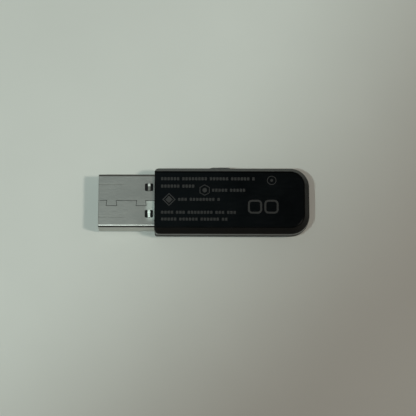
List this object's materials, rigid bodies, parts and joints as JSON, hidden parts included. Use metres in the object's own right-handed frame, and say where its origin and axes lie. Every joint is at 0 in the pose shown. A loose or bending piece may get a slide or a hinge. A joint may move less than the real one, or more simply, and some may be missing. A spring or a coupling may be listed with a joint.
{
  "type": "usb wifi adapter",
  "caption": "Slim black stick with a bare folded-steel Standard-A plug at one end, a flat bevelled cover, a rounded free end and a small sprung push button in one long side.",
  "frame": {"origin": "on the flat outer face of the housing that the adapter lies on, in the middle plane, half way along the overall length", "axes": "+X from the plug's mouth to the rounded end, +Z out of the flat printed cover, +Y towards the push button"},
  "size_m": [0.0462, 0.0151, 0.0066],
  "materials": {
    "housing_plastic": "black satin moulded plastic with a fine even grain",
    "cover_plastic": "black satin moulded plastic, slightly bluish",
    "button_plastic": "black satin moulded plastic",
    "plug_steel": "bright plated steel with fine lengthwise brushing and insertion marks",
    "insulator_plastic": "black glass-filled moulding",
    "contact_gold": "gold-plated copper alloy",
    "board_laminate": "green solder mask on glass laminate",
    "chip_epoxy": "moulded black epoxy",
    "crystal_metal": "plated metal lid",
    "shield_steel": "tinned sheet steel",
    "antenna_copper": "gold-flashed printed copper",
    "ferrite": "dark ferrite",
    "capacitor_ceramic": "tan ceramic with tinned ends",
    "resistor_film": "black film on ceramic with tinned ends",
    "led_body": "white moulding with clear lens",
    "pipe_clear": "frosted clear plastic",
    "switch_plastic": "black moulded plastic",
    "dome_steel": "stainless spring strip"
  },
  "bodies": {
    "adapter": {"main_housing": "housing_plastic", "label_cover": "cover_plastic", "plug_shell": "plug_steel", "plug_insulator": "insulator_plastic", "contact_ground": "contact_gold", "contact_data_plus": "contact_gold", "contact_data_minus": "contact_gold", "contact_supply": "contact_gold", "circuit_board": "board_laminate", "radio_chip": "chip_epoxy", "timing_crystal": "crystal_metal", "shield_can": "shield_steel", "antenna_trace": "antenna_copper", "memory_chip": "chip_epoxy", "voltage_regulator": "chip_epoxy", "surge_protector": "chip_epoxy", "supply_inductor": "ferrite", "capacitors": "capacitor_ceramic", "resistors": "resistor_film", "status_led": "led_body", "light_pipe": "pipe_clear", "switch_base": "switch_plastic", "switch_cover": "shield_steel", "switch_terminals": "contact_gold", "switch_dome": "dome_steel"},
    "button": {"side_button": "button_plastic"},
    "plunger": {"switch_plunger": "switch_plastic"}
  },
  "joints": [
    {"name": "button_press", "type": "slide", "parent": "adapter", "child": "button", "axis": [0, -1, 0], "range_m": [0, 0.00025], "stiffness_N_per_m": 400},
    {"name": "plunger_press", "type": "slide", "parent": "adapter", "child": "plunger", "axis": [0, -1, 0], "range_m": [0, 0.00025], "deforming": ["switch_dome"]}
  ],
  "couplings": [
    {"joint": "plunger_press", "follows": "button_press", "ratio": 1}
  ]
}
